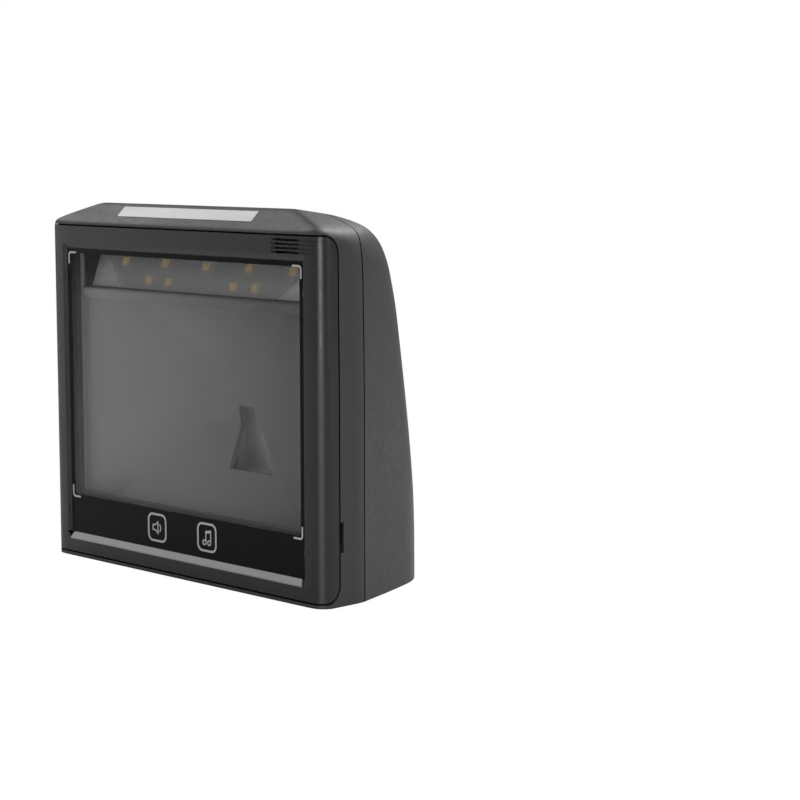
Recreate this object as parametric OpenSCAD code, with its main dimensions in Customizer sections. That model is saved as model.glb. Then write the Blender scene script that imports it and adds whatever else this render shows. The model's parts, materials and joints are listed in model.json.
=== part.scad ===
// Upright hands-free presentation barcode scanner, in millimetres, +Z up.
// Origin: under the middle of the scanner at counter level. X is width, +Y runs to the back.
// Depths below are counted from a plane 2.2 mm ahead of the front face; placed() centres them.

/* [Body] */
// half the width across the bezel
half_w = 78; // [75:0.5:79]
// shell wall thickness
wall = 2.4; // [1.8:0.1:3]
// visible gap between two shell pieces
seam = 0.25; // [0.1:0.05:0.3]
// depth of the front bezel at its side seam
bezel_d = 10.7; // [9:0.1:12]
// depth of the seam between mid housing and rear cover
mid_d = 23.8; // [22:0.1:25]
// height of the shell edge above the counter
shell_z = 0.6; // [0.4:0.1:1]

/* [Window] */
// half the width of the visible glass
glass_x = 67.6; // [64:0.5:68]
// bottom of the visible glass
glass_z0 = 9.7; // [9:0.1:11]
// top of the visible glass
glass_z1 = 123; // [120:0.5:124]
// depth of the bevelled recess in front of the glass
recess_d = 3.4; // [3:0.1:4]
// glass thickness
glass_t = 2; // [1.5:0.1:2.5]
// top of the black control band
band_top = 25.5; // [24:0.5:27]
// size of one touch key mark
key_size = 11; // [10:0.5:12]
// distance of each key mark from the middle
key_x = 14.5; // [13:0.5:18]

/* [Cable cover] */
// half the width of the cover
cover_x = 45.6; // [44:0.1:46]
// top of the cover
cover_top = 34.5; // [30:0.5:36]
// half the width of the rear cover tongue between the two tabs
tongue_x = 13.25; // [12:0.25:15]
// hinge pin radius
pin_r = 1.35; // [1.2:0.05:1.5]
// running clearance around the hinge pins
pin_gap = 0.06; // [0.03:0.01:0.1]
// depth of the hinge axis
pin_y = 74.6; // [74:0.1:75]
// hinge axis, height above the counter
pin_z = 4.05; // [3.8:0.05:4.3]

/* [Fixings] */
// half the distance between the two threaded inserts in the base
insert_x = 25; // [20:1:30]
// depth of the inserts
insert_y = 42; // [38:1:48]
// bore radius of a threaded insert
insert_r = 1.65; // [1.65:0.1:2.15]
// radius of a rubber foot
foot_r = 5; // [4:0.5:6]

/* [Hidden] */

$fn = 48;
eps = 0.02;
// front face, and the middle of the depth, in design coordinates
front_y = 2.2;
centre_y = (front_y + 78.4) / 2;
corner_r = 5.8;
tall = 150;
// layer positions at the window, measured from the front face
film_t = 0.15;
glass_y = recess_d + film_t;
gasket_y = glass_y + glass_t;
retainer_y = gasket_y + 1.2;
shroud_y = retainer_y + 2;
funnel_y = shroud_y + 1.5;
// optical chamber
funnel_x = 66;
funnel_z0 = 14;
funnel_z1 = 121;
throat_y = 31;
throat_x = 13;
throat_z0 = 57;
throat_z1 = 81;
shelf_z = 103.5;
collar_y = 12;
// imager centre
eye_x = 22;
eye_z = 50;
// speaker position
speaker_x = 62;
speaker_y = 20.8;
// main board level
board_z = 9;
board_t = 1.6;
board_x = 42;
well_y = 62;
// sockets: middle in x, width, height
data_s = [32, 15, 14];
power_s = [-28.5, 17, 12];
case_pts = [[60, 27.5], [-60, 27.5], [50, 58], [-50, 58]];
corner_pts = [[70.8, 20], [-70.8, 20], [70.8, 112], [-70.8, 112]];
foot_pts = [[52, 17], [-52, 17], [36, 55], [-36, 55]];

// plan outline of the right side: x, y and the inward offset direction
SIDE = [[77, 20, 1, 0], [76.5, 23.5, 0.99, 0.15], [75.3, 27, 0.95, 0.3], [73.7, 32, 0.95, 0.31],
  [71.8, 38, 0.95, 0.32], [68.9, 46.5, 0.94, 0.34], [65.5, 56, 0.93, 0.38], [63.6, 60.6, 0.88, 0.48],
  [61, 65, 0.8, 0.6], [58.2, 68.4, 0.7, 0.71], [55, 71.3, 0.62, 0.79], [51.6, 73.9, 0.54, 0.85],
  [48, 76, 0.4, 0.92], [44, 77.3, 0.25, 0.97], [40, 78, 0.1, 1], [20, 78.4, 0, 1]];
// centre profile of the top: y, z and the inward offset direction
TOP = [[-1, 130.4, -0.65, 0.75], [2.2, 133.4, -0.65, 0.75], [8.6, 139.4, -0.65, 0.75],
  [10, 140.6, -0.3, 0.95], [11.2, 141.2, 0, 1], [18, 140, 0.2, 1], [28, 138.4, 0.2, 1],
  [33, 137, 0.3, 0.9], [38, 134.7, 0.5, 0.9], [46, 129.4, 0.6, 0.8], [56, 120.4, 0.7, 0.7],
  [61.2, 115.2, 0.8, 0.7], [63.2, 112.6, 0.9, 0.5], [64.4, 109.6, 1, 0.3], [65.5, 103.5, 1, 0.1],
  [90, 99, 1, 0.4]];
// rounded flank sections by height: half width, depth and squareness of the curve
flank_a = [[0, 81], [60, 80], [104, 78.4], [131, 78.4], [133.5, 77.5], [135, 75], [138, 65.5], [142, 53]];
flank_b = [[0, 78.6], [15, 78], [30, 76.7], [60, 72.4], [90, 69], [120, 65.6], [131, 63.4], [142, 59.3]];
flank_n = [[0, 3.6], [60, 3.4], [104, 3.2], [120, 2.9], [128, 2.6], [134, 2.2], [142, 2.1]];
fine_levels = [-1, 15, 30, 45, 60, 75, 90, 98, 104, 108, 112, 115, 118, 120, 122, 124, 126, 128,
  130, 132, 133.5, 135, 136.5, 138, 139.5, 142];
rough_levels = [-1, 30, 60, 90, 108, 116, 122, 127, 131, 134, 137, 142];

function arc(cx, cy, r, a0, a1, n) = [for (k = [0:n]) let (a = a0 + (a1 - a0) * k / n)
  [cx + r * cos(a), cy + r * sin(a)]];
function mirrored(pts) = [for (k = [len(pts) - 1:-1:0]) [-pts[k][0], pts[k][1]]];
function signed_pow(v, e) = sign(v) * pow(abs(v), e);
function flank_point(z, t, i) = let (zz = z + 0.9 * i, n = lookup(zz, flank_n))
  [(lookup(zz, flank_a) - 0.75 * i) * signed_pow(cos(t), 2 / n),
   (lookup(zz, flank_b) - 0.9 * i) * pow(max(sin(t), 0), 2 / n), z];
function flank_ring(z, step, i) = concat(
  [[lookup(z + 0.9 * i, flank_a) - 0.75 * i, -3, z]],
  [for (t = [0:step:180]) flank_point(z, t, i)],
  [[-lookup(z + 0.9 * i, flank_a) + 0.75 * i, -3, z]]);

// moves a design shape so the origin is under the middle of the whole scanner
module placed() {
  translate([0, -centre_y, 0])
    children();
}

module slab(x0, x1, y0, y1, z0, z1) {
  translate([x0, y0, z0])
    cube([x1 - x0, y1 - y0, z1 - z0]);
}

// rounded rectangle between two corners
module rounded(x0, x1, z0, z1, r) {
  translate([x0 + r, z0])
    square([x1 - x0 - 2 * r, z1 - z0]);
  translate([x0, z0 + r])
    square([x1 - x0, z1 - z0 - 2 * r]);
  for (x = [x0 + r, x1 - r], z = [z0 + r, z1 - r])
    translate([x, z])
      circle(r);
}

// a flat shape drawn in x and z, standing between two depths
module upright(y0, y1) {
  translate([0, y1, 0])
    rotate([90, 0, 0])
      linear_extrude(y1 - y0)
        children();
}

// a flat shape drawn in y and z, running across the width
module across(x0, x1) {
  translate([x0, 0, 0])
    rotate([90, 0, 90])
      linear_extrude(x1 - x0)
        children();
}

module frame_plate(y0, y1, outer, inner, r0, r1) {
  upright(y0, y1)
    difference() {
      rounded(-outer[0], outer[0], outer[1], outer[2], r0);
      rounded(-inner[0], inner[0], inner[1], inner[2], r1);
    }
}

// a rectangular funnel solid from one opening to the next: half width, bottom, top, depth
module taper(p, q) {
  polyhedron(
    points = [[-p[0], p[3], p[1]], [p[0], p[3], p[1]], [p[0], p[3], p[2]], [-p[0], p[3], p[2]],
      [-q[0], q[3], q[1]], [q[0], q[3], q[1]], [q[0], q[3], q[2]], [-q[0], q[3], q[2]]],
    faces = [[0, 3, 2, 1], [4, 5, 6, 7], [0, 1, 5, 4], [3, 7, 6, 2], [1, 2, 6, 5], [0, 4, 7, 3]]);
}

module flank_solid(i, step, levels) {
  count = 180 / step + 3;
  top = len(levels) - 1;
  pts = [for (z = levels) each flank_ring(z, step, i)];
  faces = concat(
    [[for (k = [0:count - 1]) k]],
    [[for (k = [count - 1:-1:0]) top * count + k]],
    [for (j = [0:top - 1], k = [0:count - 1]) let (m = (k + 1) % count)
      [j * count + m, j * count + k, (j + 1) * count + k]],
    [for (j = [0:top - 1], k = [0:count - 1]) let (m = (k + 1) % count)
      [j * count + m, (j + 1) * count + k, (j + 1) * count + m]]);
  polyhedron(points = pts, faces = faces);
}

module plan_2d(i) {
  k = half_w / 77;
  right = concat(arc(half_w - corner_r, front_y + corner_r, corner_r - i, -90, 0, 8),
    [for (p = SIDE) [k * p[0] - i * p[2], p[1] - i * p[3]]]);
  polygon(concat(right, mirrored(right)));
}

module plan_prism(i) {
  translate([0, 0, -2])
    linear_extrude(tall)
      plan_2d(i);
}

module top_prism(i) {
  across(-half_w - 5, half_w + 5)
    polygon(concat([for (p = TOP) [p[0] - i * p[2], p[1] - i * p[3]]], [[90, -5], [-1, -5]]));
}

// the whole outer body, or a smaller copy of it set in by i
module body(i) {
  intersection() {
    plan_prism(i);
    top_prism(i);
    if (i == 0)
      flank_solid(0, 7.5, fine_levels);
    else
      flank_solid(i, 15, rough_levels);
  }
}

module bezel_block(gap) {
  across(-half_w - 1, half_w + 1)
    difference() {
      rounded(-20, bezel_d + gap, 2.3 - gap, 132.1 + gap, 6.5);
      translate([-30, 0])
        square([30, tall]);
    }
}

module screw(r, head_r, length) {
  difference() {
    union() {
      cylinder(r = r, h = length);
      translate([0, 0, length - eps])
        cylinder(r = head_r, h = 1.4);
    }
    translate([0, 0, length + 0.6])
      cylinder(r = head_r * 0.5, h = 2, $fn = 6);
  }
}

module front_bezel() {
  placed() color([0.24, 0.24, 0.25])
    difference() {
      intersection() {
        plan_prism(0);
        bezel_block(0);
      }
      intersection() {
        union() {
          plan_prism(wall);
          slab(-half_w + corner_r + 0.8, half_w - corner_r - 0.8, recess_d, 20, 4.6, 126.4);
        }
        slab(-half_w, half_w, 0, 40, 4.6, 129.7);
      }
      taper([glass_x + 2, 6.8, 125.9, front_y - 0.3], [glass_x, glass_z0, glass_z1, recess_d]);
      slab(-glass_x, glass_x, recess_d - eps, 20, glass_z0, glass_z1);
      for (k = [0:3]) {
        slot_z = 126.05 + 1.46 * k;
        slab(53.5, 65.6, -1, 6, slot_z - 0.45, slot_z + 0.45);
        slab(52.4, 74.6, -1, front_y + 0.8, slot_z - 0.45, slot_z + 0.45);
      }
      // small notch at one lower corner of the window
      upright(1, recess_d + 0.05)
        polygon([[-69.5, 10.2], [-66.4, 10.2], [-67.9, 7.9]]);
    }
  placed() color([0.24, 0.24, 0.25])
    for (p = corner_pts)
      translate([p[0], recess_d - 1, p[1]])
        rotate([-90, 0, 0])
          difference() {
            cylinder(r = 2.6, h = retainer_y - recess_d + 1 - 0.05);
            translate([0, 0, 2])
              cylinder(r = 0.95, h = 12);
          }
}

module mid_housing() {
  placed() color([0.25, 0.25, 0.26])
    difference() {
      intersection() {
        body(0);
        slab(-90, 90, -1, mid_d - seam, shell_z, tall);
      }
      bezel_block(seam);
      intersection() {
        body(wall);
        slab(-90, 90, wall, 40, shell_z + wall, tall);
      }
      slab(-38.5, 38.5, 5.3, 9.4, 133.2, tall);
      slab(74.5, 80, bezel_d - 0.5, 12.7, 20, 31);
      for (k = [0, 1])
        translate([foot_pts[k][0], foot_pts[k][1], 0])
          cylinder(r = foot_r + 0.05, h = 1.8);
    }
  // lugs clamped to the bezel by the long corner screws
  placed() color([0.25, 0.25, 0.26])
    for (p = corner_pts)
      difference() {
        union() {
          slab(min(p[0] - sign(p[0]) * 2, sign(p[0]) * 76.4), max(p[0] - sign(p[0]) * 2, sign(p[0]) * 76.4),
            bezel_d + 0.2, 13, p[1] - 3, p[1] + 3);
          translate([p[0], shroud_y, p[1]])
            rotate([-90, 0, 0])
              cylinder(r = 2.05, h = 3);
        }
        translate([p[0], 0, p[1]])
          rotate([-90, 0, 0])
            cylinder(r = 1.1, h = 20);
      }
}

// outline of the cable cover in x and z, grown by g
module cover_2d(g) {
  difference() {
    rounded(-cover_x - g, cover_x + g, -6, cover_top + g, 3);
    difference() {
      rounded(-tongue_x + g, tongue_x - g, 5.95 - g + 2 * g, 60, 4);
      translate([-30, 50])
        square([60, 20]);
    }
  }
}

module cable_notches(z0, y0) {
  upright(y0, 90) {
    translate([0, z0])
      rounded(26.9, 37.5, -6, 7 - z0, 1.5);
    translate([0, z0])
      rounded(-37.3, -19.7, -6, 6.1 - z0, 1.5);
  }
}

module rear_cover() {
  placed() color([0.25, 0.25, 0.26])
    difference() {
      union() {
        difference() {
          intersection() {
            body(0);
            slab(-90, 90, mid_d, 90, shell_z, tall);
          }
          difference() {
            body(wall);
            slab(-46.5, 46.5, well_y, 90, -5, 36.5);
            for (s = [-1, 1])
              slab(min(s * 45.8, s * 54), max(s * 45.8, s * 54), 70.5, 90, -5, 8.5);
          }
          slab(-43, 43, well_y + 1.6, 90, 2.6, 35);
          intersection() {
            plan_prism(wall);
            slab(-90, 90, 0, well_y - 0.1, -5, 3.2);
          }
        }
        // screw posts over the base plate
        for (k = [0:3])
          difference() {
            union() {
              translate([case_pts[k][0], case_pts[k][1], 3.3])
                cylinder(r = 3.6, h = 14);
              intersection() {
                plan_prism(1);
                translate([case_pts[k][0] + sign(case_pts[k][0]) * 10, case_pts[k][1], 10.3])
                  cube([20, 1.6, 14], center = true);
              }
            }
            translate([case_pts[k][0], case_pts[k][1], 3])
              cylinder(r = 1.2, h = 12);
          }
        // bridges from the wall to the alignment lip
        intersection() {
          plan_prism(1);
          union() {
            slab(-80, -68, mid_d + 0.4, mid_d + 2.2, 60, 66);
            slab(68, 80, mid_d + 0.4, mid_d + 2.2, 60, 66);
          }
        }
        slab(-12, 12, mid_d + 0.4, mid_d + 2.2, 134.8, 137.8);
        // alignment lip that reaches into the mid housing
        difference() {
          intersection() {
            body(wall + 0.1);
            slab(-90, 90, mid_d - 4, mid_d + 2.5, shell_z + wall + 0.1, tall);
          }
          body(wall + 1.3);
          slab(-90, 90, 0, 60, -5, 4.4);
        }
      }
      // opening for the cover, with its gap
      difference() {
        upright(well_y + 2, 90)
          cover_2d(seam + 0.1);
        intersection() {
          slab(-43, 43, 60, 69, -5, 2.6);
          slab(-90, 90, 60, 90, shell_z, 10);
        }
      }
      slab(-cover_x - 0.3, cover_x + 0.3, 69, 90, -5, 8);
      // socket openings into the plug well
      for (s = [data_s, power_s])
        slab(s[0] - s[1] / 2 - 0.2, s[0] + s[1] / 2 + 0.2, well_y - 1, well_y + 3,
          board_z + board_t - 0.2, board_z + board_t + s[2] + 0.2);
      cable_notches(0, well_y - 4);
      // hinge bores and the slits that let the cover snap in
      translate([0, pin_y, pin_z])
        rotate([0, 90, 0])
          cylinder(r = pin_r + pin_gap, h = 102.4, center = true);
      slab(-51.2, 51.2, pin_y, 90, pin_z - 1, pin_z + 1);
      // plain recess at the lip
      upright(63.9, 90)
        polygon([[-20.5, 106.6], [20.5, 106.6], [16.2, 111.4], [-16.2, 111.4]]);
    }
  placed() color([0.25, 0.25, 0.26])
    intersection() {
      upright(well_y, 90)
        difference() {
          rounded(-tongue_x + 0.1, tongue_x - 0.1, 6.2, 60, 4);
          translate([-30, 36])
            square([60, 40]);
        }
      difference() {
        body(0);
        body(wall);
      }
    }
}

module base_plate() {
  placed() color([0.2, 0.2, 0.21])
    difference() {
      union() {
        intersection() {
          plan_prism(wall + 0.3);
          slab(-90, 90, mid_d + 0.2, well_y - 0.3, 0.8, 3.1);
        }
        for (s = [-1, 1])
          translate([s * insert_x, insert_y, 0.8])
            cylinder(r = 5, h = 7);
        for (x = [-board_x, board_x], y = [32, 54])
          translate([x, y, 0.8])
            cylinder(r = 3, h = board_z - 0.8 - eps);
      }
      for (p = case_pts)
        translate([p[0], p[1], 0]) {
          cylinder(r = 1.6, h = 10);
          cylinder(r = 3.2, h = 2);
        }
      for (s = [-1, 1])
        translate([s * insert_x, insert_y, 0])
          cylinder(r = 3.05, h = 10);
      for (x = [-board_x, board_x], y = [32, 54])
        translate([x, y, 2])
          cylinder(r = 1, h = 12);
      for (k = [2, 3])
        translate([foot_pts[k][0], foot_pts[k][1], 0])
          cylinder(r = foot_r + 0.05, h = 1.8);
      cable_notches(-2.4, 58);
      slab(-20, 20, 26, 37, 0, 0.95);
    }
}

module cable_cover() {
  placed() color([0.27, 0.27, 0.28]) {
    difference() {
      union() {
        intersection() {
          difference() {
            body(0);
            body(2.2);
          }
          upright(well_y + 8, 90)
            cover_2d(0);
          across(-60, 60)
            polygon([[60, 1.2], [76.4, 1.2], [78.2, 3.1], [90, 3.1], [90, 60], [60, 60]]);
        }
        // cheeks that carry the hinge pins
        for (s = [-1, 1])
          slab(min(s * 43.6, s * cover_x), max(s * 43.6, s * cover_x), 73.1, 76, 1.4, 7.4);
        // stiffening ribs behind the two tabs
        for (x = [-38, -18, 18, 38])
          slab(x - 0.6, x + 0.6, 72.4, 74.4, 9, 30);
      }
      cable_notches(0, 60);
    }
    for (s = [-1, 1])
      translate([s * 47.25, pin_y, pin_z])
        rotate([0, 90, 0])
          cylinder(r = pin_r, h = 6.5, center = true);
  }
}

module window_glass() {
  placed() color([0.55, 0.58, 0.6, 0.35])
    slab(-glass_x - 0.5, glass_x + 0.5, glass_y, gasket_y, 8.2, 125.2);
}

module window_mask() {
  placed() color([0.03, 0.03, 0.03])
    frame_plate(recess_d, glass_y, [glass_x + 0.4, 8.5, 124.9], [glass_x - 1.9, band_top, 121.2], 0.5, 1.5);
}

module window_gasket() {
  placed() color([0.1, 0.1, 0.1])
    frame_plate(gasket_y, retainer_y, [glass_x + 0.4, 24.6, 124.9], [glass_x - 0.9, 26, 122.4], 0.5, 0.5);
}

module window_retainer() {
  placed() color([0.18, 0.18, 0.19])
    difference() {
      union() {
        frame_plate(retainer_y, shroud_y, [glass_x + 2.4, 6, 127.5], [glass_x - 1.2, 26.4, 122], 2, 1);
        for (p = corner_pts)
          translate([p[0], retainer_y, p[1]])
            rotate([-90, 0, 0])
              cylinder(r = 2.6, h = 2);
      }
      for (p = corner_pts)
        translate([p[0], retainer_y - 1, p[1]])
          rotate([-90, 0, 0])
            cylinder(r = 1.3, h = 5);
    }
}

module retainer_screws() {
  placed() color([0.75, 0.75, 0.77])
    for (p = corner_pts)
      translate([p[0], 4.7, p[1]])
        rotate([-90, 0, 0])
          screw(0.95, 2, 8.3 + eps);
}

module corner_marks() {
  placed() color([0.78, 0.78, 0.79])
    intersection() {
      frame_plate(recess_d - film_t, recess_d, [glass_x - 0.7, 24.2, 121.8],
        [glass_x - 1.4, 24.9, 121.1], 1.6, 0.9);
      union()
        for (s = [-1, 1], z = [24.2, 117])
          slab(s * (glass_x - 3.1) - 2.4, s * (glass_x - 3.1) + 2.4, 0, 10, z, z + 4.8);
    }
}

module key_ring() {
  h = key_size / 2;
  difference() {
    rounded(-h, h, -h, h, 2.8);
    rounded(-h + 0.8, h - 0.8, -h + 0.8, h - 0.8, 2);
  }
}

module volume_key_mark() {
  placed() color([0.78, 0.78, 0.79])
    translate([-key_x, 0, 18.3])
      upright(recess_d - film_t, recess_d) {
        key_ring();
        difference() {
          polygon([[-2.7, -1.2], [-1.3, -1.2], [0.7, -2.7], [0.7, 2.7], [-1.3, 1.2], [-2.7, 1.2]]);
          polygon([[-2.2, -0.7], [-1.1, -0.7], [0.2, -1.7], [0.2, 1.7], [-1.1, 0.7], [-2.2, 0.7]]);
        }
        intersection() {
          difference() {
            circle(2.3);
            circle(1.8);
          }
          translate([1.2, -1.5])
            square([3, 3]);
        }
      }
}

module tone_key_mark() {
  placed() color([0.78, 0.78, 0.79])
    translate([key_x, 0, 18.3])
      upright(recess_d - film_t, recess_d) {
        key_ring();
        for (x = [-1.4, 1.3])
          translate([x, -2])
            difference() {
              circle(1.1);
              circle(0.6);
            }
        translate([-0.8, -2])
          square([0.5, 4]);
        translate([1.9, -2])
          square([0.5, 4.4]);
        polygon([[-0.8, 1.4], [2.4, 1.9], [2.4, 2.9], [-0.8, 2.4]]);
      }
}

module silver_trim() {
  placed() color([0.66, 0.66, 0.67])
    intersection() {
      across(-80, 80)
        polygon([[2.2, 7.43], [3.35, 9.65], [3.35, 10.15], [2.2, 7.93]]);
      linear_extrude(20)
        polygon([[-67.7, 2], [67.5, 2], [66.2, 3.4], [-66.4, 3.4]]);
    }
}

module touch_board() {
  placed() color([0.1, 0.3, 0.2])
    difference() {
      slab(-58, 58, gasket_y, gasket_y + 1, 9.4, 24.2);
      for (x = [-53, 53])
        translate([x, 4, 16])
          rotate([-90, 0, 0])
            cylinder(r = 1.2, h = 6);
    }
}

module indicator_lens() {
  placed() color([0.92, 0.93, 0.93])
    difference() {
      intersection() {
        body(0);
        slab(-38.4, 38.4, 5.4, 9.3, 133, tall);
      }
      slab(-50, 50, 0, 30, 120, 134.7);
    }
}

module light_guide() {
  placed() color([0.85, 0.88, 0.9, 0.6])
    union() {
      slab(-36, 36, 5.6, 9.2, 133, 134.6);
      slab(-36, 36, 9.2, 14.2, 133.4, 134.6);
    }
}

module indicator_board() {
  placed() color([0.1, 0.3, 0.2])
    slab(-38, 38, 11.6, 18.6, 131.2, 132.4);
}

module indicator_leds() {
  placed() color([0.95, 0.95, 0.85])
    for (k = [0:5])
      slab(-31.5 + 12 * k, -28.5 + 12 * k, 11.9, 14.1, 132.4, 133.2);
}

module speaker_frame() {
  placed() color([0.12, 0.12, 0.12])
    difference() {
      upright(speaker_y, speaker_y + 2.6)
        rounded(speaker_x - 9, speaker_x + 9, 108.5, 123.5, 2);
      translate([speaker_x, speaker_y - 1, 116])
        rotate([-90, 0, 0])
          cylinder(r = 6.2, h = 2.6);
      translate([speaker_x, speaker_y - 1, 116])
        rotate([-90, 0, 0])
          cylinder(r = 3.55, h = 10);
    }
}

module speaker_cone() {
  placed() color([0.2, 0.2, 0.2])
    translate([speaker_x, speaker_y + 0.1, 116])
      rotate([-90, 0, 0])
        rotate_extrude()
          polygon([[0, 0.5], [2.4, 0.9], [5, 0.1], [6.1, 0.3], [6.1, 0.6], [5, 0.4], [2.4, 1.25], [0, 0.85]]);
}

module speaker_magnet() {
  placed() color([0.6, 0.6, 0.62])
    translate([speaker_x, speaker_y + 1.65, 116])
      rotate([-90, 0, 0])
        cylinder(r = 3.5, h = 2.6);
}

module speaker_mesh() {
  placed() color([0.05, 0.05, 0.05])
    difference() {
      slab(52.6, 67, front_y + wall, front_y + wall + 0.4, 126.5, 129.6);
      for (k = [0:11], j = [0, 1])
        slab(53.4 + 1.1 * k, 54 + 1.1 * k, 0, 6, 127.1 + 1.2 * j, 127.7 + 1.2 * j);
    }
}

module optical_shroud() {
  front = [funnel_x + 0.3, funnel_z0 - 0.3, funnel_z1 + 0.3, funnel_y - 0.3];
  back = [throat_x, throat_z0, throat_z1, throat_y];
  placed() color([0.6, 0.6, 0.6]) {
    difference() {
      union() {
        intersection() {
          union() {
            taper([funnel_x + 0.6, funnel_z0 - 0.6, funnel_z1 + 0.6, collar_y - 0.4],
              [throat_x + 1.3, throat_z0 - 1.3, throat_z1 + 1.3, throat_y + 1.7]);
            upright(funnel_y - 0.5, collar_y)
              rounded(-67.9, 67.9, funnel_z0 - 1.8, 118, 2);
          }
          slab(-90, 90, 0, 60, 0, shelf_z + 1);
        }
        upright(shroud_y, funnel_y)
          rounded(-68.4, 68.4, 8, 126.5, 2);
      }
      taper(front, back);
      slab(-65.8, 65.8, shroud_y - 1, funnel_y + 0.6, funnel_z0 + 0.2, shelf_z + 0.5);
      slab(-65.6, 65.6, shroud_y - 1, funnel_y + 6, shelf_z + 3.5, 122);
      upright(16, 40)
        polygon([[5, 41], [30, 41], [10, 64], [2, 64]]);
    }
    slab(-67, 67, shroud_y + 0.3, 20.8, shelf_z, shelf_z + 4);
  }
}

module sloped_strip(y0, y1, x_low, x_high, z0, z1) {
  slope = atan2(6.2, 14);
  intersection() {
    translate([0, 11.3, 107.5])
      rotate([-slope, 0, 0])
        slab(-80, 80, y0, y1, -4, 30);
    upright(0, 40)
      polygon([[-x_low, z0], [x_low, z0], [x_high, z1], [-x_high, z1]]);
  }
}

module led_board() {
  placed() color([0.75, 0.76, 0.74])
    sloped_strip(1.2, 2.4, 64.4, 65.2, 108, 121.6);
}

module led_row(xs, up) {
  slope = atan2(6.2, 14);
  translate([0, 11.3, 107.5])
    rotate([-slope, 0, 0])
      for (x = xs)
        slab(x - 1.4, x + 1.4, 0.5, 1.2, up - 1.4, up + 1.4);
}

module scan_leds() {
  placed() color([0.9, 0.75, 0.35]) {
    led_row([-30.5, -18.5, 18.5, 30.5], 4.6);
    led_row([-48, -24, 0, 24, 48], 12);
  }
}

module led_cover() {
  placed() color([0.8, 0.82, 0.84, 0.3])
    sloped_strip(-0.2, 0.4, 44.5, 58, 108, 120);
}

module imager_hood() {
  placed() color([0.35, 0.35, 0.36])
    difference() {
      upright(34, 41)
        polygon([[-4, 38], [34, 38], [33, 66], [-4, 66]]);
      upright(33, 38.5)
        polygon([[-2.5, 39.5], [32.5, 39.5], [31.5, 64.5], [-2.5, 64.5]]);
      translate([eye_x, 30, eye_z])
        rotate([-90, 0, 0])
          cylinder(r = 6.3, h = 20);
    }
}

module imager_bracket() {
  placed() color([0.16, 0.16, 0.17])
    difference() {
      slab(eye_x - 17, eye_x + 17, 41.1, 46, 34, 68);
      slab(eye_x - 14, eye_x + 14, 43, 47, 37, 65);
      translate([eye_x, 30, eye_z])
        rotate([-90, 0, 0])
          cylinder(r = 6.1, h = 20);
      for (p = [[eye_x - 15.4, 36], [eye_x + 15.4, 66]])
        translate([p[0], 38, p[1]])
          rotate([-90, 0, 0])
            cylinder(r = 0.8, h = 12);
    }
}

module imager_board() {
  placed() color([0.08, 0.28, 0.2])
    difference() {
      slab(eye_x - 17, eye_x + 17, 46.1, 47.3, 34, 68);
      for (p = [[eye_x - 15.4, 36], [eye_x + 15.4, 66]])
        translate([p[0], 38, p[1]])
          rotate([-90, 0, 0])
            cylinder(r = 0.95, h = 12);
    }
}

module image_sensor() {
  placed() color([0.15, 0.16, 0.2])
    slab(eye_x - 4, eye_x + 4, 44.9, 46.1, eye_z - 3.5, eye_z + 3.5);
}

module lens_barrel() {
  placed() color([0.08, 0.08, 0.09])
    translate([eye_x, 36.5, eye_z])
      rotate([-90, 0, 0])
        rotate_extrude()
          polygon([[4.6, 0], [6, 0], [6, 8.2], [3.2, 8.2], [3.2, 3.4], [4.6, 3.4]]);
}

module imager_lens() {
  placed() color([0.4, 0.45, 0.6, 0.5])
    translate([eye_x, 36.9, eye_z])
      rotate([-90, 0, 0])
        rotate_extrude()
          polygon(concat([[0, 3], [4.55, 3], [4.55, 1]], arc(0, 6.2, 6.2, -48, -90, 6)));
}

module imager_screws() {
  placed() color([0.75, 0.75, 0.77])
    for (p = [[eye_x - 15.4, 36], [eye_x + 15.4, 66]])
      translate([p[0], 42.3, p[1]])
        rotate([-90, 0, 0])
          screw(0.78, 1.6, 5 + eps);
}

module main_board() {
  placed() color([0.08, 0.28, 0.2])
    difference() {
      slab(-50, 50, 27, 60, board_z, board_z + board_t);
      for (x = [-board_x, board_x], y = [32, 54])
        translate([x, y, 5])
          cylinder(r = 1.3, h = 10);
      for (p = case_pts)
        translate([p[0], p[1], 5])
          cylinder(r = 4, h = 10);
    }
}

module processor() {
  placed() color([0.1, 0.1, 0.11])
    slab(-7, 7, 34, 48, board_z + board_t, board_z + board_t + 1.3);
}

module memory_chips() {
  placed() color([0.12, 0.12, 0.13])
    for (x = [14, -26])
      slab(x, x + 11, 32, 43, board_z + board_t, board_z + board_t + 1);
}

module board_capacitors() {
  placed() color([0.7, 0.7, 0.72])
    for (k = [0:2])
      translate([-38 + 9 * k, 29.8, board_z + board_t])
        cylinder(r = 2.2, h = 6);
}

module board_screws() {
  placed() color([0.75, 0.75, 0.77])
    for (x = [-board_x, board_x], y = [32, 54])
      translate([x, y, board_z + board_t - 6])
        screw(0.98, 2.2, 6 + eps);
}

module socket(s) {
  difference() {
    slab(s[0] - s[1] / 2, s[0] + s[1] / 2, 46, well_y + 1.6, board_z + board_t, board_z + board_t + s[2]);
    slab(s[0] - s[1] / 2 + 1.5, s[0] + s[1] / 2 - 1.5, 49, 70, board_z + board_t + 2.4,
      board_z + board_t + s[2] - 3);
    slab(s[0] - 2.5, s[0] + 2.5, 52, 70, board_z + board_t + s[2] - 3.2, board_z + board_t + s[2] - 1.2);
  }
}

module contact_row(s, count, pitch) {
  for (k = [0:count - 1])
    slab(s[0] + (k - (count - 1) / 2) * pitch - 0.25, s[0] + (k - (count - 1) / 2) * pitch + 0.25,
      49, 59, board_z + board_t + 2.4, board_z + board_t + 3);
}

module data_socket() {
  placed() color([0.14, 0.14, 0.15])
    socket(data_s);
}

module data_contacts() {
  placed() color([0.85, 0.7, 0.3])
    contact_row(data_s, 10, 1.02);
}

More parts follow.
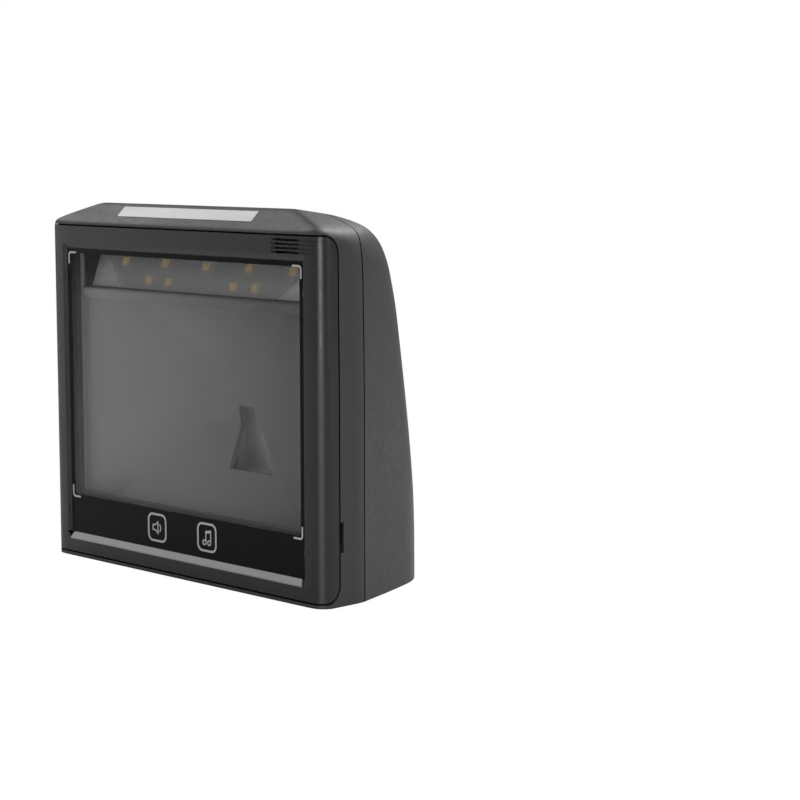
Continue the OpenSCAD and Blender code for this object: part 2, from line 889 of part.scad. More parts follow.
module power_socket() {
  placed() color([0.14, 0.14, 0.15])
    socket(power_s);
}

module power_contacts() {
  placed() color([0.85, 0.7, 0.3])
    contact_row(power_s, 4, 2.5);
}

module imager_flex() {
  placed() color([0.85, 0.6, 0.3])
    across(11, 22)
      polygon([[47.3, 36], [50.2, 36], [50.2, 12.5], [48.6, 10.6], [51.4, 10.6], [50.6, 12.4], [50.6, 36.4],
        [50.6, 40], [47.3, 40]]);
}

module led_flex() {
  placed() color([0.85, 0.6, 0.3])
    across(-50, -43)
      polygon([[18, 115.6], [21.6, 113.4], [21.6, 60], [28.4, 20], [28.4, 10.8], [28.8, 10.8], [28.8, 20.1],
        [22, 60.1], [22, 113.6], [18.2, 116]]);
}

module antenna_loop() {
  placed() color([0.7, 0.42, 0.25])
    frame_plate(shroud_y + 0.1, shroud_y + 1.3, [74.4, 5.2, 129.2], [73, 6.6, 127.8], 3, 1.5);
}

module rubber_feet() {
  placed() color([0.06, 0.06, 0.06])
    for (p = foot_pts)
      translate([p[0], p[1], 0]) {
        cylinder(r1 = foot_r - 0.5, r2 = foot_r, h = 0.5);
        translate([0, 0, 0.5])
          cylinder(r = foot_r, h = 1.3);
      }
}

module case_screws() {
  placed() color([0.6, 0.6, 0.62])
    for (p = case_pts)
      translate([p[0], p[1], 2 + 8])
        rotate([180, 0, 0])
          screw(1.19, 2.6, 8 + eps);
}

module threaded_inserts() {
  placed() color([0.8, 0.65, 0.3])
    for (s = [-1, 1])
      translate([s * insert_x, insert_y, 0.8])
        difference() {
          cylinder(r = 3.05, h = 6.6);
          translate([0, 0, -1])
            cylinder(r = insert_r, h = 10);
        }
}

module rating_label() {
  placed() color([0.75, 0.75, 0.74])
    slab(-19.8, 19.8, 26.2, 36.8, 0.8, 0.95);
}

front_bezel();
mid_housing();
rear_cover();
base_plate();
cable_cover();
window_glass();
window_mask();
window_gasket();
window_retainer();
retainer_screws();
corner_marks();
volume_key_mark();
tone_key_mark();
silver_trim();
touch_board();
indicator_lens();
light_guide();
indicator_board();
indicator_leds();
speaker_frame();
speaker_cone();
speaker_magnet();
speaker_mesh();
optical_shroud();
led_board();
scan_leds();
led_cover();
imager_hood();
imager_bracket();
imager_board();
image_sensor();
lens_barrel();
imager_lens();
imager_screws();
main_board();
processor();
memory_chips();
board_capacitors();
board_screws();
data_socket();
data_contacts();
power_socket();
power_contacts();
imager_flex();
led_flex();
antenna_loop();
rubber_feet();
case_screws();
threaded_inserts();
rating_label();
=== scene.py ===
"""Looks for an upright presentation barcode scanner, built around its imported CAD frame.

The outline tables and body_field work in millimetres in design coordinates, where y runs
backwards from just ahead of the front face. What is handed to Blender is in metres, with
the origin under the middle of the scanner.
"""
import json
import math

import bmesh
import bpy
import numpy as np
from mathutils import Matrix, Vector


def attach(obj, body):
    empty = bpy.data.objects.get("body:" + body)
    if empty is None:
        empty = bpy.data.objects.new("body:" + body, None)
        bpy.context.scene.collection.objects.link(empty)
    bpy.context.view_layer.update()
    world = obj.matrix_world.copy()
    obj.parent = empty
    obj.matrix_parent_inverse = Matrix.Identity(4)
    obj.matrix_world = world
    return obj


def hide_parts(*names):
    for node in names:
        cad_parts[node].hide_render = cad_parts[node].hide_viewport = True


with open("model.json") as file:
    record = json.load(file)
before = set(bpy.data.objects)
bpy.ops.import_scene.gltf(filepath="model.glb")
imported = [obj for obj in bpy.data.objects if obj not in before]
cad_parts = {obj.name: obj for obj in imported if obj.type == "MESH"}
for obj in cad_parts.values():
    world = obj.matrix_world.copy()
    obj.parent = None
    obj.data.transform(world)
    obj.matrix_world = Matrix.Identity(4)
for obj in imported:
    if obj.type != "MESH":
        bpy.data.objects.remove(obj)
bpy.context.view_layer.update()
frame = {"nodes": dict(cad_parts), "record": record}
NODES = frame["nodes"]
HOUSING = "housing"
COVER = "cable_cover"

# ---------------------------------------------------------------- driving dimensions
MM = 0.001
# middle of the depth, front face, rearmost level and half the width
MID_Y = 40.3
FRONT_Y = 2.2
BACK_Y = 78.5
HALF_W = 78.0
# radius of the upright front corners
CORNER = 5.8
# half width that the SIDE table is drawn for
SIDE_HALF_W = 77
# how far a curve runs on straight past the ends of its table
RUN_ON = 12.0

# lowest level of the skin, below the feet so that the shells keep their own bottom edge
SKIN_BOTTOM = -3.0
# grid box that the skin is pushed out from, its cell size, and the point the rays start at
SKIN_LOW = [-HALF_W, FRONT_Y, SKIN_BOTTOM]
SKIN_HIGH = [HALF_W, BACK_Y, 141]
SKIN_CELL = 1.1
SKIN_CENTRE = [0, 34, 64.0]
# how far each face of the skin lies under the CAD surface
PLAN_UNDER = 0.06
FLANK_UNDER = 0.22
TOP_UNDER = 0.16
FRONT_UNDER = 0.03
# size of the soft edge between side and flank, round the top, and round the front face
SIDE_BLEND = 1.2
TOP_BLEND = 2.2
FRONT_BLEND = 0.8
# turns the flank's relative size into millimetres
FLANK_SCALE = 62

# seam behind the ridge, and the rounded seam outline of the bezel seen from the side, along which shade is
# painted
REAR_SEAM_Y = 23.68
BEZEL_SEAM_MID = (-4.6, 67.2)
BEZEL_SEAM_HALF = (15.4, 65.0)
BEZEL_SEAM_R = 6.5
# distances from a seam between which the band of painted shade fades out, in metres
GAP_SHADE_BAND = (0.00026, 0.0004)

# hinge pins of the cable cover: middle of each pin, half length, axis, radius, edge radius
PIN_X = 47.25
PIN_HALF = 3.25
PIN_Y = 74.6
PIN_Z = 4.05
PIN_R = 1.35
PIN_EDGE = 0.3


# ---------------------------------------------------------------- smooth outer body
def smooth_curve(table, step=0.25, blur=2.0):
    """Sample straight stretches between (position, value) pairs, with the corners rounded off."""
    table = np.array(table, float)
    place, value = table[:, 0], table[:, 1]
    x = np.arange(place[0] - RUN_ON, place[-1] + RUN_ON, step)
    first_slope = (value[1] - value[0]) / (place[1] - place[0])
    last_slope = (value[-1] - value[-2]) / (place[-1] - place[-2])
    y = np.interp(x, place, value)
    y = np.where(x < place[0], value[0] + first_slope * (x - place[0]), y)
    y = np.where(x > place[-1], value[-1] + last_slope * (x - place[-1]), y)
    reach = int(3 * blur / step)
    weight = np.exp(-0.5 * (np.arange(-reach, reach + 1) * step / blur) ** 2)
    padded = np.pad(y, reach, mode="reflect", reflect_type="odd")
    return x, np.convolve(padded, weight / weight.sum(), mode="valid")


def at(curve, position):
    return np.interp(position, curve[0], curve[1])


def slope_of(curve, position, h=0.15):
    return (at(curve, position + h) - at(curve, position - h)) / (2 * h)


def soft_max(a, b, size):
    """The larger of two fields, with the edge between them rounded."""
    h = np.maximum(size - np.abs(a - b), 0) / size
    return np.maximum(a, b) + h * h * size * 0.25


# rounded flank by height: half width, depth and squareness of its plan curve
FLANK_HALF_W = smooth_curve(
    [[0, 81], [60, 80], [104, 78.4], [131, 78.4], [133.5, 77.5], [135, 75], [138, 65.5], [142, 53]],
    blur=1.2)
FLANK_DEPTH = smooth_curve(
    [[0, 78.6], [15, 78], [30, 76.7], [60, 72.4], [90, 69], [120, 65.6], [131, 63.4], [142, 59.3]],
    blur=3.0)
FLANK_POWER = smooth_curve(
    [[0, 3.6], [60, 3.4], [104, 3.2], [120, 2.9], [128, 2.6], [134, 2.2], [142, 2.1]],
    blur=2.5)
# height of the roof by depth
TOP = smooth_curve(
    [[-1, 130.4], [2.2, 133.4], [8.6, 139.4], [10, 140.6], [11.2, 141.2], [18, 140], [28, 138.4],
     [33, 137], [38, 134.7], [46, 129.4], [56, 120.4], [61.2, 115.2], [63.2, 112.6], [64.4, 109.6],
     [65.5, 103.5], [68, 90], [90, -40]],
    step=0.1, blur=1.0)
# half width of the plan by depth
SIDE = smooth_curve(
    [[8, 77], [20, 77], [23.5, 76.5], [27, 75.3], [32, 73.7], [38, 71.8], [46.5, 68.9], [56, 65.5],
     [60.6, 63.6], [65, 61], [68.4, 58.2], [71.3, 55], [73.9, 51.6], [76, 48], [77.3, 44], [78, 40],
     [78.4, 20], [78.6, 0]],
    step=0.1, blur=0.8)
SIDE = (SIDE[0], SIDE[1] * HALF_W / SIDE_HALF_W)


def body_field(p):
    """Field of the whole body at the points p: negative inside, positive outside."""
    x, y, z = np.abs(p[:, 0]), p[:, 1], p[:, 2]

    ahead = np.clip(FRONT_Y + CORNER - y, 0, CORNER)
    bend = np.sqrt(np.clip(CORNER ** 2 - ahead ** 2, 0, None))
    side_x = np.where(ahead > 0, HALF_W - CORNER + bend, at(SIDE, y))
    side_slope = np.where(ahead > 0, ahead / np.maximum(bend, 0.8), slope_of(SIDE, y))
    plan = (x - side_x) / np.sqrt(1 + side_slope ** 2)
    plan = np.maximum(plan, y - BACK_Y)

    top = (z - at(TOP, y)) / np.sqrt(1 + slope_of(TOP, y) ** 2)

    power = at(FLANK_POWER, z)
    ring = (x / at(FLANK_HALF_W, z)) ** power + (np.maximum(y, 0) / at(FLANK_DEPTH, z)) ** power
    flank = (ring ** (1 / power) - 1) * FLANK_SCALE

    field = soft_max(plan + PLAN_UNDER, flank + FLANK_UNDER, SIDE_BLEND)
    field = soft_max(field, top + TOP_UNDER, TOP_BLEND)
    field = soft_max(field, FRONT_Y + FRONT_UNDER - y, FRONT_BLEND)
    return np.maximum(field, SKIN_BOTTOM - z)


def grid_box(low, high, cell):
    """Vertices and quads over the surface of a box, sharing their corners."""
    count = [max(2, int(round((high[k] - low[k]) / cell))) for k in range(3)]
    verts, index, quads = [], {}, []

    def vertex(axes, steps):
        key = tuple(steps[axes.index(k)] for k in range(3))
        if key not in index:
            index[key] = len(verts)
            verts.append([low[k] + (high[k] - low[k]) * key[k] / count[k] for k in range(3)])
        return index[key]

    for axes in ((0, 1, 2), (0, 2, 1), (1, 2, 0)):
        along, across, through = (count[k] for k in axes)
        for a in range(along):
            for b in range(across):
                for level in (0, through):
                    corners = [(a, b), (a, b + 1), (a + 1, b + 1), (a + 1, b)]
                    # every quad faces outwards
                    if (level == 0) == (axes == (0, 2, 1)):
                        corners = corners[:1] + corners[:0:-1]
                    quads.append([vertex(axes, (*corner, level)) for corner in corners])
    return np.array(verts), quads


def link(mesh, name):
    o = bpy.data.objects.new(name, mesh)
    bpy.context.scene.collection.objects.link(o)
    return o


def body_skin():
    """Closed skin of the body: a gridded box moved onto the field's surface along rays."""
    centre = np.array(SKIN_CENTRE)
    verts, quads = grid_box(SKIN_LOW, SKIN_HIGH, SKIN_CELL)
    ray = verts - centre
    inner = np.zeros(len(ray))
    outer = np.full(len(ray), 1.6)
    for _ in range(26):
        half = (inner + outer) / 2
        outside = body_field(centre + ray * half[:, None]) > 0
        outer = np.where(outside, half, outer)
        inner = np.where(outside, inner, half)
    points = (centre + ray * inner[:, None] - [0, MID_Y, 0]) * MM
    mesh = bpy.data.meshes.new("skin")
    mesh.from_pydata(points.tolist(), [], quads)
    mesh.update()
    return link(mesh, "skin")


# ---------------------------------------------------------------- mesh tools
def cad_copy(node, name):
    """A welded copy of a CAD mesh as an object of its own."""
    mesh = NODES[node].data.copy()
    mesh.materials.clear()
    bm = bmesh.new()
    bm.from_mesh(mesh)
    bmesh.ops.remove_doubles(bm, verts=bm.verts, dist=1e-6)
    bm.to_mesh(mesh)
    bm.free()
    normals = mesh.attributes.get("custom_normal")
    if normals is not None:
        mesh.attributes.remove(normals)
    return link(mesh, name)


def apply_modifiers(o):
    deps = bpy.context.evaluated_depsgraph_get()
    mesh = bpy.data.meshes.new_from_object(o.evaluated_get(deps))
    o.modifiers.clear()
    old = o.data
    o.data = mesh
    bpy.data.meshes.remove(old)


def boolean(o, other, operation):
    m = o.modifiers.new("cut", "BOOLEAN")
    m.operation = operation
    m.object = other
    m.solver = "MANIFOLD"
    apply_modifiers(o)


def smooth(o, angle=32):
    mesh = o.data
    mesh.polygons.foreach_set("use_smooth", [True] * len(mesh.polygons))
    mesh.set_sharp_from_angle(angle=math.radians(angle))
    mesh.update()


def drop(o):
    mesh = o.data
    bpy.data.objects.remove(o)
    bpy.data.meshes.remove(mesh)


def rod(name, x0, x1, y, z, r, edge, sides=40):
    """A round pin along X with rounded ends, in millimetres."""
    bm = bmesh.new()
    profile = [(0, 0), (r - edge, 0)]
    for a in (0.5, 1.05, math.pi / 2):
        profile.append((r - edge + edge * math.sin(a), edge - edge * math.cos(a)))
    length = x1 - x0
    profile += [(radius, length - along) for radius, along in reversed(profile)]
    turns = [2 * math.pi * k / sides for k in range(sides)]
    rings = []
    for radius, along in profile:
        if radius == 0:
            rings.append([bm.verts.new((x0 + along, y, z))])
        else:
            rings.append([bm.verts.new((x0 + along, y + radius * math.cos(t), z + radius * math.sin(t)))
                          for t in turns])
    for a, b in zip(rings, rings[1:]):
        for k in range(sides):
            m = (k + 1) % sides
            if len(a) == 1:
                bm.faces.new((a[0], b[m], b[k]))
            elif len(b) == 1:
                bm.faces.new((a[k], a[m], b[0]))
            else:
                bm.faces.new((a[k], a[m], b[m], b[k]))
    bmesh.ops.recalc_face_normals(bm, faces=bm.faces)
    bmesh.ops.scale(bm, vec=(MM, MM, MM), verts=bm.verts)
    mesh = bpy.data.meshes.new(name)
    bm.to_mesh(mesh)
    bm.free()
    return link(mesh, name)


# ---------------------------------------------------------------- materials
class Graph:
    """A material with a principled shader, and short ways to add and wire its nodes."""

    def __init__(self, name):
        self.mat = bpy.data.materials.new(name)
        self.mat.use_nodes = True
        self.tree = self.mat.node_tree
        self.tree.nodes.clear()
        self.out = self.add("ShaderNodeOutputMaterial")
        self.bsdf = self.add("ShaderNodeBsdfPrincipled")
        self.wire(self.bsdf, 0, self.out, 0)
        self.coords = self.add("ShaderNodeTexCoord")

    def add(self, kind, **props):
        node = self.tree.nodes.new(kind)
        for key, value in props.items():
            setattr(node, key, value)
        return node

    def wire(self, a, i, b, j):
        self.tree.links.new(a.outputs[i], b.inputs[j])

    def feed(self, source, target):
        """Set an input from a socket or from a plain value."""
        if isinstance(source, bpy.types.NodeSocket):
            self.tree.links.new(source, target)
        else:
            target.default_value = source

    def put(self, name, value):
        self.feed(value, self.bsdf.inputs[name])

    def noise(self, scale, detail=4, rough=0.5):
        node = self.add("ShaderNodeTexNoise")
        node.inputs["Scale"].default_value = scale
        node.inputs["Detail"].default_value = detail
        node.inputs["Roughness"].default_value = rough
        self.wire(self.coords, "Object", node, "Vector")
        return node

    def spread(self, source, low, high, start=0.3, end=0.7):
        """Map a value that runs from start to end onto low to high."""
        node = self.add("ShaderNodeMapRange")
        node.inputs["From Min"].default_value = start
        node.inputs["From Max"].default_value = end
        node.inputs["To Min"].default_value = low
        node.inputs["To Max"].default_value = high
        self.feed(source, node.inputs["Value"])
        return node.outputs["Result"]

    def tint(self, source, dark, light):
        """A colour between dark and light that follows a value."""
        ramp = self.add("ShaderNodeValToRGB")
        first, last = ramp.color_ramp.elements
        first.position = 0.3
        last.position = 0.7
        first.color = (*dark, 1)
        last.color = (*light, 1)
        self.feed(source, ramp.inputs["Fac"])
        return ramp.outputs["Color"]

    def bump(self, source, strength, distance, edge=0.0):
        """Surface relief, over edges that look rounded where edge is not 0."""
        node = self.add("ShaderNodeBump")
        node.inputs["Strength"].default_value = strength
        node.inputs["Distance"].default_value = distance
        self.feed(source, node.inputs["Height"])
        if edge:
            bevel = self.add("ShaderNodeBevel")
            bevel.samples = 6
            bevel.inputs["Radius"].default_value = edge
            self.wire(bevel, 0, node, "Normal")
        self.wire(node, 0, self.bsdf, "Normal")

    def calc(self, operation, *values):
        node = self.add("ShaderNodeMath", operation=operation)
        for socket, value in zip(node.inputs, values):
            self.feed(value, socket)
        return node.outputs[0]

    def place(self):
        """The x, y and z of the object's own coordinates."""
        node = self.add("ShaderNodeSeparateXYZ")
        self.wire(self.coords, "Object", node, 0)
        return node.outputs

    def blend_base(self, factor, under, blend_type="MIX"):
        """Mix the base colour that is wired so far with another colour or value."""
        base = self.bsdf.inputs["Base Color"]
        mix = self.add("ShaderNodeMix", data_type="RGBA", blend_type=blend_type)
        self.feed(factor, mix.inputs["Factor"])
        wired = base.links[0].from_socket
        first, second = (wired, under) if blend_type == "MULTIPLY" else (under, wired)
        self.feed(first, mix.inputs[6])
        self.feed(second, mix.inputs[7])
        self.tree.links.new(mix.outputs[2], base)

    def paint_gap_shade(self, spec):
        """Paint shade into the colour: a thin near-black band without reflection beside the flat rear seam
        and the rounded seam of the bezel, where the gaps between the parts fall into shadow.
        """
        _, y, z = self.place()
        back = self.calc("ABSOLUTE", self.calc("SUBTRACT", y, (REAR_SEAM_Y - MID_Y) * MM))
        radius = BEZEL_SEAM_R * MM
        off_y = self.calc("ABSOLUTE", self.calc("SUBTRACT", y, (BEZEL_SEAM_MID[0] - MID_Y) * MM))
        off_z = self.calc("ABSOLUTE", self.calc("SUBTRACT", z, BEZEL_SEAM_MID[1] * MM))
        past_y = self.calc("SUBTRACT", off_y, BEZEL_SEAM_HALF[0] * MM - radius)
        past_z = self.calc("SUBTRACT", off_z, BEZEL_SEAM_HALF[1] * MM - radius)
        corner_y = self.calc("MAXIMUM", past_y, 0)
        corner_z = self.calc("MAXIMUM", past_z, 0)
        squares = [self.calc("MULTIPLY", c, c) for c in (corner_y, corner_z)]
        far = self.calc("SQRT", self.calc("ADD", *squares))
        inside = self.calc("MINIMUM", self.calc("MAXIMUM", past_y, past_z), 0)
        front = self.calc("ABSOLUTE", self.calc("SUBTRACT", self.calc("ADD", far, inside), radius))
        near = self.calc("MINIMUM", back, front)
        self.blend_base(self.spread(near, 0.06, 1.0, *GAP_SHADE_BAND), (0.002, 0.002, 0.002, 1))
        self.put("Specular IOR Level", self.spread(near, 0.0, spec, *GAP_SHADE_BAND))

    def paint_shade_right(self):
        """Paint shade into the colour, darker towards the right end."""
        x, _, _ = self.place()
        self.blend_base(1.0, self.spread(x, 1.0, 0.34, -0.05, 0.045), "MULTIPLY")


def scaled(color, factor):
    return tuple(min(1.0, v * factor) for v in color)


def moulded(name, color, rough=0.5, grain=1.0, edge=0.0003, spec=0.5, vary=0.16, painted_shade=None):
    """Moulded plastic: spark-eroded grain, faint flow marks and handling sheen, with shade painted into the
    colour at the seams or towards the right end when asked.
    """
    g = Graph(name)
    fine = g.noise(2600, 3, 0.6).outputs["Fac"]
    patch = g.noise(24, 5, 0.6).outputs["Fac"]
    medium = g.noise(420, 3, 0.5).outputs["Fac"]
    g.put("Base Color", g.tint(patch, scaled(color, 1 - vary), scaled(color, 1 + vary)))
    sheen = g.spread(patch, -0.06, 0.06)
    g.put("Roughness", g.calc("ADD", sheen, g.spread(medium, rough - 0.05, rough + 0.05)))
    g.put("Specular IOR Level", spec)
    # painted shade: a dark band in the seam gaps between the shells
    if painted_shade == "seams":
        g.paint_gap_shade(spec)
    # painted shade that darkens the colour towards the right end
    if painted_shade == "right_end":
        g.paint_shade_right()
    g.bump(fine, 0.35 * grain, 0.00006, edge)
    return g.mat


def metal(name, color, rough=0.3, stretch=None):
    """Bare metal with fine marks, brushed where stretch scales them."""
    g = Graph(name)
    marks = g.noise(900, 4, 0.6)
    if stretch:
        mapping = g.add("ShaderNodeMapping")
        mapping.inputs["Scale"].default_value = stretch
        g.wire(g.coords, "Object", mapping, "Vector")
        g.wire(mapping, 0, marks, "Vector")
    value = marks.outputs["Fac"]
    g.put("Base Color", g.tint(value, scaled(color, 0.88), scaled(color, 1.06)))
    g.put("Metallic", 1.0)
    g.put("Roughness", g.spread(value, rough - 0.08, rough + 0.1))
    g.bump(value, 0.15, 0.00003, 0.0001)
    return g.mat


def clear(name, tint, rough, haze, smear):
    """Thin clear sheet: see-through, with a Fresnel reflection in front, haze and faint smears."""
    g = Graph(name)
    g.tree.nodes.remove(g.bsdf)
    see = g.add("ShaderNodeBsdfTransparent")
    see.inputs["Color"].default_value = (*tint, 1)
    dirt = g.noise(38, 6, 0.65).outputs["Fac"]
    gloss = g.add("ShaderNodeBsdfGlossy")
    g.feed(g.spread(dirt, rough, rough + smear), gloss.inputs["Roughness"])
    veil = g.add("ShaderNodeBsdfDiffuse")
    veil.inputs["Color"].default_value = (0.75, 0.75, 0.76, 1)

    fresnel = g.add("ShaderNodeFresnel")
    fresnel.inputs["IOR"].default_value = 1.5
    facing = g.add("ShaderNodeNewGeometry")
    in_front = g.calc("SUBTRACT", 1.0, facing.outputs["Backfacing"])
    mirror = g.add("ShaderNodeMixShader")
    g.feed(g.calc("MULTIPLY", fresnel.outputs[0], in_front), mirror.inputs[0])
    g.wire(see, 0, mirror, 1)
    g.wire(gloss, 0, mirror, 2)

    sheet = g.add("ShaderNodeMixShader")
    g.feed(g.spread(dirt, haze, haze + 0.012), sheet.inputs[0])
    g.wire(mirror, 0, sheet, 1)
    g.wire(veil, 0, sheet, 2)
    g.wire(sheet, 0, g.out, 0)
    return g.mat


def board(name, base, line):
    """Printed circuit board: solder mask over tracks and pads."""
    g = Graph(name)
    cells = g.add("ShaderNodeTexVoronoi", distance="MANHATTAN", feature="DISTANCE_TO_EDGE")
    cells.inputs["Scale"].default_value = 260
    g.wire(g.coords, "Object", cells, "Vector")
    track = g.spread(cells.outputs["Distance"], 1.0, 0.0, 0.03, 0.06)
    mix = g.add("ShaderNodeMix", data_type="RGBA")
    g.feed(track, mix.inputs["Factor"])
    mix.inputs[6].default_value = (*base, 1)
    mix.inputs[7].default_value = (*line, 1)
    g.put("Base Color", mix.outputs[2])
    g.put("Roughness", g.spread(g.noise(700, 3).outputs["Fac"], 0.25, 0.4))
    g.bump(track, 0.3, 0.00003, 0.0001)
    return g.mat


def lamp(name, color, strength):
    """Glowing LED body."""
    g = Graph(name)
    cloud = g.noise(900, 3).outputs["Fac"]
    g.put("Base Color", g.tint(cloud, scaled(color, 0.85), color))
    g.put("Roughness", g.spread(cloud, 0.2, 0.35))
    g.put("Emission Color", (*color, 1))
    g.put("Emission Strength", strength)
    g.bump(cloud, 0.1, 0.00002, 0.0001)
    return g.mat


MAT = {
    # outside
    # the housing and the bezel get painted shade beside their seams
    "housing": moulded("housing_plastic_vis", (0.034, 0.034, 0.035), edge=0.00045, spec=0.45,
                       painted_shade="seams"),
    "bezel": moulded("bezel_plastic_vis", (0.014, 0.014, 0.015), rough=0.4, grain=0.7, edge=0.0004,
                     spec=0.42, painted_shade="seams"),
    "glass": clear("window_glass_vis", (0.87, 0.87, 0.87), rough=0.01, haze=0.006, smear=0.04),
    "black": moulded("black_print_vis", (0.005, 0.0045, 0.0045), rough=0.35, grain=0.15, edge=0.0,
                     spec=0.08, vary=0.1),
    "light": moulded("light_print_vis", (0.56, 0.56, 0.57), grain=0.4, edge=0.0, spec=0.4, vary=0.04),
    "trim": metal("silver_trim_vis", (0.34, 0.34, 0.345), rough=0.5, stretch=(0.05, 1, 1)),
    "lens": moulded("white_lens_vis", (0.48, 0.49, 0.49), rough=0.35, grain=0.8, edge=0.0002, vary=0.06),
    "rubber": moulded("rubber_vis", (0.014, 0.014, 0.014), rough=0.8, grain=2.2, edge=0.0005, spec=0.3,
                      vary=0.25),
    "label": moulded("label_vis", (0.5, 0.5, 0.49), rough=0.45, grain=0.3, edge=0.0, spec=0.4, vary=0.04),
    # optical chamber behind the window
    # the shroud gets painted shade towards its right end
    "shroud": moulded("shroud_plastic_vis", (0.5, 0.5, 0.5), rough=0.6, grain=0.15, edge=0.0004,
                      spec=0.3, vary=0.05, painted_shade="right_end"),
    # painted light: a lighter copy of the shroud plastic, so that the hood in shade at the back of the
    # chamber does not look dark
    "hood": moulded("hood_plastic_vis", (0.7, 0.7, 0.7), rough=0.6, grain=0.15, spec=0.3, vary=0.05),
    "diffuser": clear("led_cover_vis", (0.95, 0.95, 0.95), rough=0.2, haze=0.2, smear=0.1),
    "white_board": board("white_board_vis", (0.9, 0.9, 0.89), (0.84, 0.84, 0.83)),
    "led": lamp("led_vis", (0.85, 0.62, 0.26), 0.22),
    "clear": clear("clear_plastic_vis", (0.9, 0.91, 0.92), rough=0.08, haze=0.02, smear=0.1),
    # inner works
    "inner": moulded("inner_plastic_vis", (0.03, 0.03, 0.033), rough=0.55, edge=0.0002),
    "foam": moulded("foam_vis", (0.014, 0.014, 0.015), rough=0.9, grain=3.0, edge=0.0002, spec=0.2,
                    vary=0.3),
    "board": board("board_vis", (0.012, 0.075, 0.035), (0.03, 0.14, 0.07)),
    "chip": moulded("chip_vis", (0.018, 0.018, 0.02), rough=0.45, grain=1.2, edge=0.0001, vary=0.2),
    "flex": moulded("flex_vis", (0.5, 0.24, 0.06), rough=0.3, grain=0.4, edge=0.0, vary=0.1),
    "gold": metal("gold_vis", (0.8, 0.58, 0.24), rough=0.25),
    "steel": metal("steel_vis", (0.6, 0.6, 0.62)),
    "aluminium": metal("aluminium_vis", (0.66, 0.66, 0.68), rough=0.35),
    "brass": metal("brass_vis", (0.68, 0.5, 0.22), rough=0.32),
    "copper": metal("copper_vis", (0.6, 0.28, 0.13), rough=0.35),
}

# slots of the record whose material has another name here
SLOT_NAMES = {
    "housing_plastic": "housing", "inner_plastic": "inner", "shroud_plastic": "shroud",
    "black_print": "black", "light_print": "light", "silver_trim": "trim", "white_lens": "lens",
    "clear_plastic": "clear",
}
# nodes that look different from the rest of their slot; the imager hood's lighter colour is painted light
NODE_NAMES = {"imager_hood": "hood", "led_cover": "diffuser", "speaker_mesh": "chip"}


def dress_nodes():
    """Give every CAD node the material of its slot."""
    for entry in frame["record"]["subparts"]:
        name, slot = entry["node"], entry["material_slot"]
        materials = NODES[name].data.materials
        materials.clear()
        materials.append(MAT[NODE_NAMES.get(name, SLOT_NAMES.get(slot, slot))])


# ---------------------------------------------------------------- visible shells
def shell(skin, node, name, material, body, extra=()):
    """Stand-in for a CAD shell, trimmed to the smooth skin, with extra pieces joined on."""
    o = cad_copy(node, name)
    boolean(o, skin, "INTERSECT")
    for piece in extra:
        boolean(o, piece, "UNION")
        drop(piece)
    smooth(o)
    o.data.materials.clear()
    o.data.materials.append(MAT[material])
    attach(o, body)
    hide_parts(node)


def shells():
    skin = body_skin()
    shell(skin, "front_bezel", "bezel_shell", "bezel", HOUSING)
    shell(skin, "mid_housing", "mid_shell", "housing", HOUSING)
    shell(skin, "rear_cover", "rear_shell", "housing", HOUSING)
    shell(skin, "indicator_lens", "indicator_bar", "lens", HOUSING)
    pins = []
    for middle in (-PIN_X, PIN_X):
        pins.append(rod("pin", middle - PIN_HALF, middle + PIN_HALF, PIN_Y - MID_Y, PIN_Z, PIN_R, PIN_EDGE))
    shell(skin, "cable_cover", "cover_shell", "housing", COVER, extra=pins)
    drop(skin)


# ---------------------------------------------------------------- stage, light, camera
def floor():
    """Pale floor that shows as plain white to the camera."""
    bm = bmesh.new()
    bmesh.ops.create_grid(bm, x_segments=2, y_segments=2, size=6)
    mesh = bpy.data.meshes.new("floor")
    bm.to_mesh(mesh)
    bm.free()
    o = link(mesh, "floor")
    g = Graph("floor_vis")
    g.put("Base Color", g.tint(g.noise(3, 3).outputs["Fac"], (0.68, 0.68, 0.68), (0.72, 0.72, 0.72)))
    g.put("Roughness", 0.6)
    paper = g.add("ShaderNodeEmission")
    seen_by = g.add("ShaderNodeLightPath")
    sheet = g.add("ShaderNodeMixShader")
    g.wire(seen_by, "Is Camera Ray", sheet, 0)
    g.wire(g.bsdf, 0, sheet, 1)
    g.wire(paper, 0, sheet, 2)
    g.wire(sheet, 0, g.out, 0)
    o.data.materials.append(g.mat)


def area(name, place, target, size, power, only_glossy=False):
    """A rectangular light; a glossy-only one shows in reflections and lights nothing else."""
    data = bpy.data.lights.new(name, "AREA")
    data.shape = "RECTANGLE"
    data.size, data.size_y = size
    data.energy = power
    o = bpy.data.objects.new(name, data)
    bpy.context.scene.collection.objects.link(o)
    o.location = place
    aim = Vector(target) - Vector(place)
    o.rotation_euler = aim.to_track_quat("-Z", "Y").to_euler()
    if only_glossy:
        o.visible_camera = False
        o.visible_diffuse = False


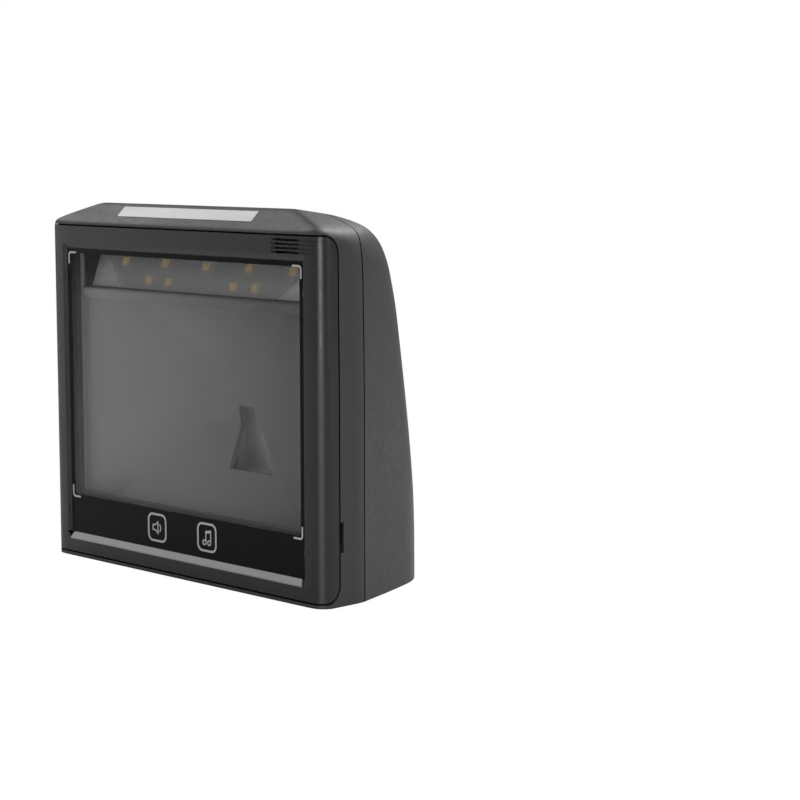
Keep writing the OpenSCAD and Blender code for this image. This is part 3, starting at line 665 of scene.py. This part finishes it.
def lights():
    low, high = (0, -0.01, 0.07), (0, -0.01, 0.1)
    area("front", (-0.5, -1.6, 0.7), low, (1.2, 0.9), 3.6)
    area("side", (1.7, 0.5, 0.5), low, (0.8, 1.0), 4)
    area("ramp", (-1.15, -0.1, 1.05), high, (0.8, 0.8), 7)
    area("shoulder", (-0.05, 1.15, 1.1), high, (1.2, 0.8), 16)
    area("top", (0.25, 0.1, 1.6), high, (1.0, 1.0), 14)
    area("corner_strip", (0.56, -0.64, 0.2), (0.07, -0.03, 0.07), (0.14, 0.4), 3.6, only_glossy=True)
    area("left_card", (-0.62, -0.33, 0.16), (-0.06, -0.04, 0.08), (0.16, 0.32), 0.35, only_glossy=True)
    area("rim_card", (0.5, 1.05, 0.6), (0.05, 0, 0.12), (0.4, 0.3), 2.2, only_glossy=True)


def studio():
    """Faint sky light, behind a background that shows as plain white to the camera."""
    bpy.context.scene.view_settings.view_transform = "Standard"
    world = bpy.data.worlds.new("studio")
    bpy.context.scene.world = world
    world.use_nodes = True
    tree = world.node_tree
    sky = tree.nodes["Background"]
    sky.inputs[0].default_value = (0.97, 0.98, 1, 1)
    sky.inputs[1].default_value = 0.14
    seen = tree.nodes.new("ShaderNodeBackground")
    seen.inputs[0].default_value = (1, 1, 1, 1)
    seen.inputs[1].default_value = 1.0
    path = tree.nodes.new("ShaderNodeLightPath")
    pick = tree.nodes.new("ShaderNodeMixShader")
    tree.links.new(path.outputs["Is Camera Ray"], pick.inputs[0])
    tree.links.new(sky.outputs[0], pick.inputs[1])
    tree.links.new(seen.outputs[0], pick.inputs[2])
    tree.links.new(pick.outputs[0], tree.nodes["World Output"].inputs["Surface"])


def camera():
    """Long lens from the right front, a little above the window."""
    yaw, pitch, roll = (math.radians(v) for v in (48.37, 7.67, -0.55))
    level = math.cos(pitch)
    forward = Vector((-math.sin(yaw) * level, math.cos(yaw) * level, -math.sin(pitch)))
    right = Vector((math.cos(yaw), math.sin(yaw), 0))
    up = right.cross(forward)
    rolled_right = math.cos(roll) * right + math.sin(roll) * up
    rolled_up = -math.sin(roll) * right + math.cos(roll) * up
    data = bpy.data.cameras.new("camera")
    data.lens = 101.5
    data.sensor_width = 36
    data.shift_x = 0.1948
    data.shift_y = 0.0293
    o = bpy.data.objects.new("camera", data)
    bpy.context.scene.collection.objects.link(o)
    turn = Matrix((rolled_right, rolled_up, -forward)).transposed()
    o.matrix_world = Matrix.Translation((0.6417, -0.5350 - MID_Y * MM, 0.1723)) @ turn.to_4x4()
    bpy.context.scene.camera = o


dress_nodes()
shells()
floor()
lights()
studio()
camera()
